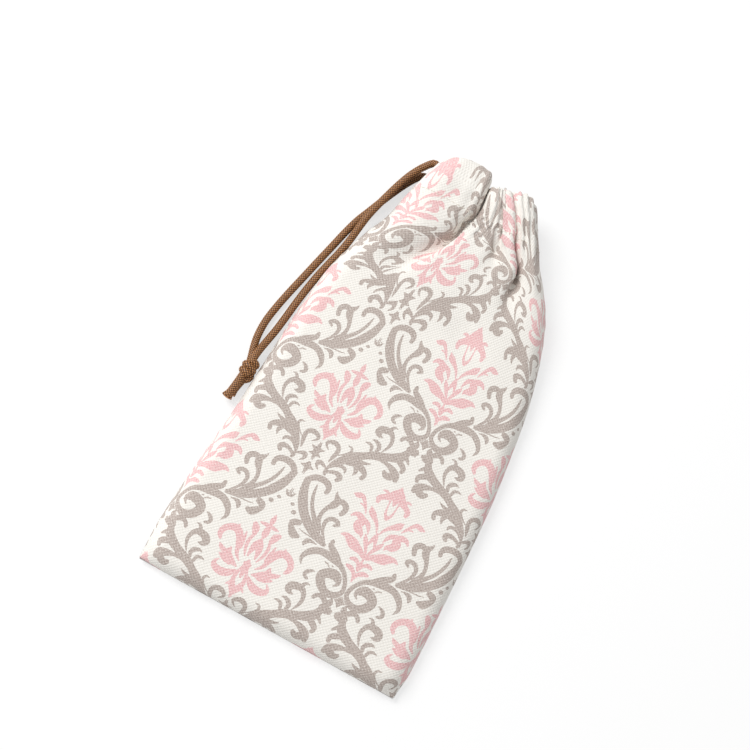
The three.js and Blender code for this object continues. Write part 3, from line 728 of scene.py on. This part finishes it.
def stroke_outline(discs):
    """The stroke's edge, with rounded ends, as a closed loop of points."""
    centre, radius = discs[:, :2], discs[:, 2]
    along = np.gradient(centre, axis=0)
    along /= np.maximum(np.linalg.norm(along, axis=1), 1e-6)[:, None]
    left = np.stack([-along[:, 1], along[:, 0]], 1)
    ends = []
    for k, way in ((-1, 1), (0, -1)):
        turns = max(3, int(round(radius[k] * np.pi / 4)))
        ends.append([centre[k] + radius[k] * way * (left[k] * math.cos(a) + along[k] * math.sin(a))
            for a in np.linspace(0, np.pi, turns + 1)[1:-1]])
    left_side = centre + left * radius[:, None]
    right_side = centre - left * radius[:, None]
    return np.vstack([left_side, ends[0], right_side[::-1], ends[1]])


def within(points, discs, margin):
    """Which points lie inside any of these discs by more than the margin."""
    x, y = points[:, 0, None], points[:, 1, None]
    gap = np.hypot(x - discs[None, :, 0], y - discs[None, :, 1]) - discs[None, :, 2]
    return gap.min(1) < -margin


def print_edges(strokes, thinner):
    """The edges of the printed shapes in one repeat, as pieces of line: both ends of each."""
    discs = [brush_stroke(s, thinner, DISC_STEP) for s in strokes]
    pieces = []
    for k, stroke in enumerate(strokes):
        loop = stroke_outline(brush_stroke(stroke, thinner, OUTLINE_STEP))
        others = np.vstack([d for j, d in enumerate(discs) if j != k])
        # An edge well inside the printed shapes, its own stroke's among them, doesn't show
        hidden = within(loop, others, 1.0) | within(loop, discs[k], 0.9)
        for a, b, ha, hb in zip(loop, np.roll(loop, -1, 0), hidden, np.roll(hidden, -1)):
            if ha and hb:
                continue
            # What lies past a mirror line is left out, and what crosses it is cut there
            for line, keep in ((0.0, 1), (REPEAT_ACROSS, -1)):
                sa, sb = (a[0] - line) * keep, (b[0] - line) * keep
                if sa < 0 and sb < 0:
                    break
                if sa * sb < 0:
                    cut = a + (b - a) * sa / (sa - sb)
                    cut[0] = line
                    a, b = (cut, b) if sa < 0 else (a, cut)
            else:
                pieces.append((a, b))
    return np.array(pieces), np.vstack(discs)


def print_place(u, v):
    """Where up the print the cloth at u, v is: folds in the neck swallow cloth, most above the long crease
    and by the right seam, so there the print lies lower than the cloth is long."""
    v = np.asarray(v, float)
    y = straight_y(v)
    above = 1 - ramp(-3, 3, u - at(LONG_CREASE, y))
    right_seam = ramp(92, 118, u)
    swallowed_left = 8 * ramp(148, 180, v) + 9 * ramp(186, 204, v)
    swallowed_middle = mix(-3 * ramp(148, 168, v) + 9 * ramp(178, 206, v), 13 * ramp(160, 205, v), right_seam)
    return v + mix(swallowed_middle, swallowed_left, above)


def cloth_place(u, p):
    """The cloth up from the bottom seam that carries the print at p up, at u across."""
    low, high = np.full_like(p, -20.0), np.full_like(p, 300.0)
    for _ in range(22):
        middle = (low + high) / 2
        under = print_place(u, middle) < p
        low, high = np.where(under, middle, low), np.where(under, high, middle)
    return low


def drawn_aside(u, v):
    """How far aside the neck's cloth is drawn: from both seams toward the middle, where the gathers are."""
    from_right = 6.0 * ramp(92, 122, u) * ramp(150, 185, v)
    from_left = 8.0 * (1 - ramp(14, 44, u)) * ramp(150, 180, v)
    return from_right - from_left


def folded(u, v):
    """Where a point of the cloth falls in the repeat."""
    x = np.mod((u + drawn_aside(u, v) - COLUMN_A) / UNIT_ACROSS, 2 * REPEAT_ACROSS)
    x = np.where(x > REPEAT_ACROSS, 2 * REPEAT_ACROSS - x, x)
    return x, np.mod((print_place(u, v) - REPEAT_FOOT) / UNIT_UP, REPEAT_UP)


def distance_field(discs):
    """How far each place of the repeat is outside the printed shapes, less than 0 inside them."""
    wide, tall = int(REPEAT_ACROSS) + 1, int(REPEAT_UP)
    field = np.full((tall, wide), FAR_OUTSIDE)
    for x, y, radius in discs:
        reach = int(radius + FIELD_REACH)
        xs = np.arange(int(x) - reach, int(x) + reach + 1)
        ys = np.arange(int(y) - reach, int(y) + reach + 1)
        gap = np.hypot(xs[None, :] - x, ys[:, None] - y) - radius
        for seen_x in (xs, -xs, 2 * int(REPEAT_ACROSS) - xs):
            held = (seen_x >= 0) & (seen_x < wide)
            spot = np.ix_(ys % tall, seen_x[held])
            field[spot] = np.minimum(field[spot], gap[:, held])
    return field


def read_field(field, u, v):
    """The field at points of the cloth."""
    x, y = folded(u, v)
    i = np.clip(np.floor(x).astype(int), 0, field.shape[1] - 2)
    j = np.floor(y).astype(int) % field.shape[0]
    up = (j + 1) % field.shape[0]
    fx, fy = x - i, y - np.floor(y)
    return mix(mix(field[j, i], field[j, i + 1], fx), mix(field[up, i], field[up, i + 1], fx), fy)


GREY_EDGES, GREY_DISCS = print_edges(GREY_STROKES, THINNER["grey"])
PINK_EDGES, PINK_DISCS = print_edges(PINK_STROKES, THINNER["pink"])
GREY_FIELD = distance_field(GREY_DISCS)
PINK_FIELD = distance_field(PINK_DISCS)


def lines_between(stops, counts):
    """Grid lines: this many even steps from each stop to the next."""
    lines = [stops[0]]
    for start, end, count in zip(stops, stops[1:], counts):
        lines += [mix(start, end, i / count) for i in range(1, count + 1)]
    return np.array(lines)


FLAP_FROM = 8.0
BOTTOM_FLAP_IN = 7.0
BOTTOM_FLAP_END = CLOTH_WIDTH - BOTTOM_FLAP_IN
OUTER_EDGE = CLOTH_WIDTH + ALLOWANCE
TOP_V = WALL_LENGTH + CASING_ROUND
# The cut piece: side allowances stop short of the clipped bottom corners and of the slit
CUT = [(0, 0), (BOTTOM_FLAP_IN, 0), (BOTTOM_FLAP_IN, -ALLOWANCE), (BOTTOM_FLAP_END, -ALLOWANCE),
    (BOTTOM_FLAP_END, 0), (CLOTH_WIDTH, 0), (CLOTH_WIDTH, FLAP_FROM), (OUTER_EDGE, FLAP_FROM),
    (OUTER_EDGE, SLIT_FROM), (CLOTH_WIDTH, SLIT_FROM), (CLOTH_WIDTH, TOP_V), (0, TOP_V), (0, SLIT_FROM),
    (-ALLOWANCE, SLIT_FROM), (-ALLOWANCE, FLAP_FROM), (0, FLAP_FROM)]
ON_SIDE = 0.04  # how near to a side of the cut a point on it may lie
NOT_AT_END = 1e-3
TABLE_CLEAR = 0.01


def inside_cut(u, v):
    groove_shade_ridge_highlight = (u > 0) & (u < CLOTH_WIDTH) & (v > 0) & (v < TOP_V)
    sides = (u > -ALLOWANCE) & (u < OUTER_EDGE) & (v > FLAP_FROM) & (v < SLIT_FROM)
    foot = (u > BOTTOM_FLAP_IN) & (u < BOTTOM_FLAP_END) & (v > -ALLOWANCE) & (v < TOP_V)
    return groove_shade_ridge_highlight | sides | foot


def near_cut(u, v, beside, above):
    """Which pieces of line have both ends on the cut piece or within these mm of it."""
    return ((u > -ALLOWANCE - beside) & (u < OUTER_EDGE + beside) & (v > -ALLOWANCE - beside)
        & (v < TOP_V + above)).all(1)


def print_on_cloth():
    """The edges of the print where they fall on the cut piece, as pieces of line: (u, v) of both ends."""
    pieces = np.concatenate([GREY_EDGES, PINK_EDGES])
    laid = []
    for column in range(-2, 3):
        for mirror in (1, -1):
            for row in range(-2, 4):
                across_print = column * 2 * REPEAT_ACROSS * UNIT_ACROSS
                drawn_u = COLUMN_A + across_print + mirror * pieces[..., 0] * UNIT_ACROSS
                drawn_v = REPEAT_FOOT + (pieces[..., 1] + row * REPEAT_UP) * UNIT_UP
                close = near_cut(drawn_u, drawn_v, 9, 20)
                drawn_u, drawn_v = drawn_u[close], drawn_v[close]
                # The cloth is drawn aside by an amount that depends on the place, so it is found step by step
                u = drawn_u
                for _ in range(8):
                    v = cloth_place(u, drawn_v)
                    u = drawn_u - drawn_aside(u, v)
                near = near_cut(u, v, 2, 2)
                laid.append(np.stack([u[near], v[near]], 2))
    return np.concatenate(laid).tolist()


PRINT_ON_CLOTH = print_on_cloth()


def flat_pattern(columns, rows, drawn, closest, border_points=None):
    """Triangles of the cut piece, laid flat, whose edges follow the cut, the folds and the drawn lines.
    Points closer together than closest are one point."""
    points, edges = [], []

    def chain(places, closed=False):
        first = len(points)
        points.extend(places)
        count = len(places)
        edges.extend((first + i, first + (i + 1) % count) for i in range(count if closed else count - 1))

    border = []
    for (ua, va), (ub, vb) in zip(CUT, CUT[1:] + CUT[:1]):
        level = va == vb
        a, b = (ua, ub) if level else (va, vb)
        if border_points is None:
            marks = columns if level else rows
        else:
            on_side = np.abs(border_points[:, 1 if level else 0] - (va if level else ua)) < ON_SIDE
            marks = np.sort(border_points[on_side, 0 if level else 1])
        between = [s for s in marks if min(a, b) + NOT_AT_END < s < max(a, b) - NOT_AT_END]
        between = between if a < b else between[::-1]
        border += [(ua, va)] + [(s, va) if level else (ua, s) for s in between]
    chain(border, closed=True)
    for fold in (0.0, CLOTH_WIDTH):
        chain([(fold, v) for v in rows if FLAP_FROM < v < SLIT_FROM])
    chain([(u, 0.0) for u in columns if BOTTOM_FLAP_IN < u < BOTTOM_FLAP_END])
    grid_u, grid_v = (grid.ravel() for grid in np.meshgrid(columns, rows))
    kept = inside_cut(grid_u, grid_v)
    points.extend(zip(grid_u[kept].tolist(), grid_v[kept].tolist()))
    for piece in drawn:
        chain(piece)
    done = geometry.delaunay_2d_cdt([Vector(p) for p in points], edges, [], 0, closest, False)
    flat = np.array([tuple(p) for p in done[0]])
    faces = np.array([tuple(f) for f in done[2] if len(f) == 3])
    middle = flat[faces].mean(1)
    return flat, faces[inside_cut(middle[:, 0], middle[:, 1])]


def rim_of(faces):
    """The open edges round a patch of triangles, each in the direction of its own triangle."""
    edges = np.concatenate([faces[:, [0, 1]], faces[:, [1, 2]], faces[:, [2, 0]]])
    key = edges.min(1).astype(np.int64) * 10_000_000 + edges.max(1)
    _, first, count = np.unique(key, return_index=True, return_counts=True)
    return edges[first[count == 1]]


def surface(side, u, v):
    """Points in the middle of the cloth and the way out of the pouch at each."""
    near = 0.25
    span_u = cloth(side, u + near, v) - cloth(side, u - near, v)
    span_v = cloth(side, u, v + near) - cloth(side, u, v - near)
    out = np.cross(span_u, span_v) * (1 if side == "front" else -1)
    return cloth(side, u, v), out / np.linalg.norm(out, axis=1)[:, None]


def panel(name, side, columns, rows, material):
    """One panel: its printed outside, its coarser inside, and the cut edge of the cloth between them."""
    flat, faces = flat_pattern(columns, rows, PRINT_ON_CLOTH, 0.03)
    rim = rim_of(faces)
    rim_points = np.unique(rim)
    inner_flat, inner_faces = flat_pattern(INNER_COLUMNS, INNER_ROWS, [], 1e-5, flat[rim_points])
    count = len(flat)
    inner_rim = np.unique(rim_of(inner_faces))
    twin = {}
    for i in rim_points.tolist():
        gap = np.hypot(*(inner_flat[inner_rim] - flat[i]).T)
        twin[i] = int(inner_rim[gap.argmin()]) + count
    points = np.vstack([flat, inner_flat])
    middle, out = surface(side, points[:, 0], points[:, 1])
    lift = np.concatenate([np.full(count, CLOTH / 2), np.full(len(inner_flat), -CLOTH / 2)])
    corners = middle + out * (lift + ripples(side, points[:, 0], points[:, 1]))[:, None]
    corners[:, 2] = np.maximum(corners[:, 2], TABLE_CLEAR)
    inner = inner_faces[:, ::-1] + count
    cut_edge = [(b, a, twin[a]) for a, b in rim.tolist()] + [(b, twin[a], twin[b]) for a, b in rim.tolist()]
    every = np.vstack([faces, inner, cut_edge])
    if side == "back":
        every = every[:, ::-1]
    made = mesh_object(name, corners, every.tolist(), material)
    centre = flat[faces].mean(1)
    ink = np.zeros((len(every), 3), np.float32)
    grey = read_field(GREY_FIELD, centre[:, 0], centre[:, 1]) < 0
    ink[:len(faces), 0] = grey
    ink[:len(faces), 1] = (read_field(PINK_FIELD, centre[:, 0], centre[:, 1]) < 0) & ~grey
    ink[len(faces):, 2] = 1
    colour_layer(made, "ink", "CORNER", np.repeat(ink, 3, axis=0))
    laid = made.data.uv_layers.new(name="cloth")
    laid.data.foreach_set("uv", (points[every.ravel()] * MM).astype(np.float32).ravel())
    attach(made, "root")
    return made


# Printed cotton canvas: a plain weave of matt ivory yarns, with the ink sunk into them, so the weave shows
# through it and thin places stay pale. The yarns are 0.55 mm apart, drawn 0.8 mm apart so that they show.
YARNS_APART = 0.8


def canvas_material():
    material, tree = new_material("printed_cotton_canvas")
    laid = add(tree, "ShaderNodeUVMap", {"uv_map": "cloth"}).outputs["UV"]
    ink = add(tree, "ShaderNodeAttribute", {"attribute_name": "ink"})
    grey, pink, inside = add(tree, "ShaderNodeSeparateColor", links={"Color": ink.outputs["Color"]}).outputs
    split = add(tree, "ShaderNodeSeparateXYZ", links={"Vector": laid})
    waves = []
    for axis in ("X", "Y"):
        turns = maths(tree, "MULTIPLY", {0: split.outputs[axis]}, _1=math.pi / (YARNS_APART * MM))
        waves.append(maths(tree, "SINE", {0: turns}))
    weave = maths(tree, "MULTIPLY", {0: waves[0], 1: waves[1]})
    slub = noise(tree, laid, 420.0, 4.0, 0.65)
    grain = noise(tree, laid, 1500.0, 2.0, 0.7)
    speckle = maths(tree, "MULTIPLY_ADD", {0: weave, 2: grain}, _1=0.1)
    colour = ramp_between(tree, speckle, [(0.25, "#eae4db"), (0.45, "#f5f1ea"), (0.75, "#faf7f1")])
    grey_ink = ramp_between(tree, speckle,
        [(0.25, "#9f9189"), (0.47, "#c0b3ab"), (0.62, "#cec3bb"), (0.8, "#efe9e3")])
    pink_ink = ramp_between(tree, speckle,
        [(0.25, "#e0a9ab"), (0.47, "#efc3c3"), (0.62, "#f4d3d1"), (0.8, "#fbeeea")])
    wrong_side = ramp_between(tree, slub, [(0.3, "#e4dedb"), (0.7, "#f1edea")])
    for mask, tone in ((grey, grey_ink), (pink, pink_ink), (inside, wrong_side)):
        mixed = add(tree, "ShaderNodeMix", {"data_type": "RGBA"}, {"Factor": mask, "A": colour, "B": tone})
        colour = mixed.outputs["Result"]
    height = maths(tree, "MULTIPLY_ADD", {0: weave, 2: slub}, _1=0.5)
    surfaced(tree, colour, height, strength=0.7, depth=0.00022, Roughness=0.92, Sheen_Weight=0.12,
        Sheen_Roughness=0.6, Specular_IOR_Level=0.2)
    return material


printed_canvas = canvas_material()
# Grid lines in the cloth, closer at the folds; the inside, which is plain, needs fewer
COLUMN_STOPS = (-6, -1.3, 0, 2, 20, 104, 122, 124, 125.3, 130)
ROW_STOPS = (-6, -1.3, 0, 2, 12, 130, 170, 244)
FINE_COLUMNS = lines_between(COLUMN_STOPS, (3, 3, 3, 14, 70, 14, 3, 3, 3))
FINE_ROWS = lines_between(ROW_STOPS, (2, 3, 3, 6, 58, 24, 76))
INNER_COLUMNS = lines_between(COLUMN_STOPS, (2, 2, 2, 8, 40, 8, 2, 2, 2))
INNER_ROWS = lines_between(ROW_STOPS, (1, 2, 2, 4, 24, 14, 44))
front_panel = panel("pouch_front", "front", FINE_COLUMNS, FINE_ROWS, printed_canvas)
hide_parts("front_panel")
back_panel = panel("pouch_back", "back", INNER_COLUMNS, INNER_ROWS, printed_canvas)
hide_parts("back_panel")


# The sewing: ivory polyester thread in lockstitch, 2.5 mm a stitch. One row holds each casing's hem, and each
# stitch sinks where it enters the cloth.
STITCH = 2.5
STITCH_SEEN = 0.78  # the share of a stitch's length that lies on the cloth
THREAD = 0.32
THREAD_LIFT = 0.05
THREAD_LOWEST = 0.45
GUIDE_STEP = 0.5


def stitch_group():
    """Geometry nodes that lay one stitch after another along a curve."""
    group = bpy.data.node_groups.new("row_of_stitches", "GeometryNodeTree")
    sizes = {}
    for label, kind in (("Geometry", "Geometry"), ("Stitch length", "Float"), ("Thread thickness", "Float"),
            ("Thread", "Material")):
        socket = group.interface.new_socket(label, in_out="INPUT", socket_type="NodeSocket" + kind)
        sizes[label] = socket.identifier
    group.interface.new_socket("Geometry", in_out="OUTPUT", socket_type="NodeSocketGeometry")
    given = add(group, "NodeGroupInput").outputs
    to_curve = add(group, "GeometryNodeMeshToCurve", links={"Mesh": given["Geometry"]})
    places = add(group, "GeometryNodeCurveToPoints", {"mode": "LENGTH"}, {"Curve": to_curve.outputs["Curve"],
        "Length": given["Stitch length"]})
    ball = add(group, "GeometryNodeMeshUVSphere", Segments=8, Rings=6, Radius=0.5)
    seen_length = maths(group, "MULTIPLY", {0: given["Stitch length"]}, _1=STITCH_SEEN)
    stretch = add(group, "ShaderNodeCombineXYZ", links={"X": given["Thread thickness"],
        "Y": given["Thread thickness"], "Z": seen_length})
    lie = add(group, "GeometryNodeInstanceOnPoints", links={"Points": places.outputs["Points"],
        "Instance": ball.outputs["Mesh"], "Rotation": places.outputs["Rotation"],
        "Scale": stretch.outputs[0]})
    real = add(group, "GeometryNodeRealizeInstances", links={"Geometry": lie.outputs["Instances"]})
    coloured = add(group, "GeometryNodeSetMaterial", links={"Geometry": real.outputs["Geometry"],
        "Material": given["Thread"]})
    smooth = add(group, "GeometryNodeSetShadeSmooth", links={"Geometry": coloured.outputs["Geometry"]})
    add(group, "NodeGroupOutput", links={"Geometry": smooth.outputs["Geometry"]})
    return group, sizes


# Sewing thread: ivory spun polyester, matt and a little fuzzy.
def thread_material():
    material, tree = new_material("ivory_thread")
    place = add(tree, "ShaderNodeTexCoord")
    fuzz = noise(tree, place.outputs["Object"], 5000.0, 2.0, 0.5)
    surfaced(tree, ramp_between(tree, fuzz, [(0.3, "#d8d0c2"), (0.7, "#efe9dd")]), Roughness=0.8)
    return material


ivory_thread = thread_material()
row_group, row_sizes = stitch_group()


def stitched_row(name, side, row):
    """A row of stitches on the outside of a panel, along these points (u, v) of the cloth."""
    row = np.array(row, float)
    along = np.concatenate([[0], np.cumsum(np.linalg.norm(np.diff(row, axis=0), axis=1))])
    even = np.linspace(0, along[-1], int(along[-1] / GUIDE_STEP) + 1)
    u, v = np.interp(even, along, row[:, 0]), np.interp(even, along, row[:, 1])
    middle, out = surface(side, u, v)
    places = middle + out * (CLOTH / 2 + ripples(side, u, v) + THREAD_LIFT)[:, None]
    places[:, 2] = np.maximum(places[:, 2], THREAD_LOWEST)
    guide_mesh = bpy.data.meshes.new(name + "_guide")
    guide_mesh.from_pydata((places * MM).tolist(), [(i, i + 1) for i in range(len(places) - 1)], [])
    guide = placed(name + "_guide", guide_mesh)
    modifier = guide.modifiers.new("stitches", "NODES")
    modifier.node_group = row_group
    modifier[row_sizes["Stitch length"]] = STITCH * MM
    modifier[row_sizes["Thread thickness"]] = THREAD * MM
    modifier[row_sizes["Thread"]] = ivory_thread
    evaluated = guide.evaluated_get(bpy.context.evaluated_depsgraph_get())
    made = placed(name, bpy.data.meshes.new_from_object(evaluated))
    bpy.data.objects.remove(guide)
    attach(made, "root")


CASING_ROW = [(u, WALL_LENGTH - 0.4) for u in range(2, 123)]
stitched_row("front_sewing", "front", CASING_ROW)
stitched_row("back_sewing", "back", CASING_ROW)


# The table and the light: a plain white studio floor, one large soft lamp from the upper left of the picture
# and a soft fill from all round.
FLOOR_HALF = 1.5
floor_mesh = bpy.data.meshes.new("floor")
floor_corners = [(-FLOOR_HALF, -FLOOR_HALF, 0), (FLOOR_HALF, -FLOOR_HALF, 0), (FLOOR_HALF, FLOOR_HALF, 0),
    (-FLOOR_HALF, FLOOR_HALF, 0)]
floor_mesh.from_pydata(floor_corners, [], [(0, 1, 2, 3)])
floor = placed("floor", floor_mesh)
white_floor, tree = new_material("studio_floor")
matt = add(tree, "ShaderNodeBsdfPrincipled", Base_Color=linear("#f4f4f4"), Roughness=0.9,
    Specular_IOR_Level=0.1)
glow = add(tree, "ShaderNodeEmission", Strength=1.1)
# To the camera the floor is mostly an even white; the pouch gets the light of the matt floor
camera_ray = add(tree, "ShaderNodeLightPath").outputs["Is Camera Ray"]
share = maths(tree, "MULTIPLY", {0: camera_ray}, _1=0.6)
both = add(tree, "ShaderNodeMixShader", links={"Fac": share, 1: matt.outputs[0], 2: glow.outputs[0]})
add(tree, "ShaderNodeOutputMaterial", links={"Surface": both.outputs[0]})
floor_mesh.materials.append(white_floor)

world = bpy.data.worlds.new("studio")
bpy.context.scene.world = world
world.use_nodes = True
tree = world.node_tree
tree.nodes.clear()
# White beyond the floor to the camera, and half as strong as a light
camera_ray = add(tree, "ShaderNodeLightPath").outputs["Is Camera Ray"]
strength = maths(tree, "MULTIPLY_ADD", {0: camera_ray}, _1=0.5, _2=0.5)
sky = add(tree, "ShaderNodeBackground", links={"Strength": strength}, Color=(1, 1, 1, 1))
add(tree, "ShaderNodeOutputWorld", links={"Surface": sky.outputs[0]})

LAMP_SIZE = 0.6
LAMP_POWER = 10.8
LAMP_FROM = Vector((-0.75, 0.32, 0.95))
LAMP_AT = Vector((0, 0.1, 0))
lamp_data = bpy.data.lights.new("softbox", "AREA")
lamp_data.shape = "RECTANGLE"
lamp_data.size = LAMP_SIZE
lamp_data.size_y = LAMP_SIZE
lamp_data.energy = LAMP_POWER
lamp = placed("softbox", lamp_data)
lamp_turn = (LAMP_AT - LAMP_FROM).to_track_quat("-Z", "Y")
lamp.matrix_world = Matrix.Translation(LAMP_FROM) @ lamp_turn.to_matrix().to_4x4()
bpy.context.scene.view_settings.view_transform = "Standard"
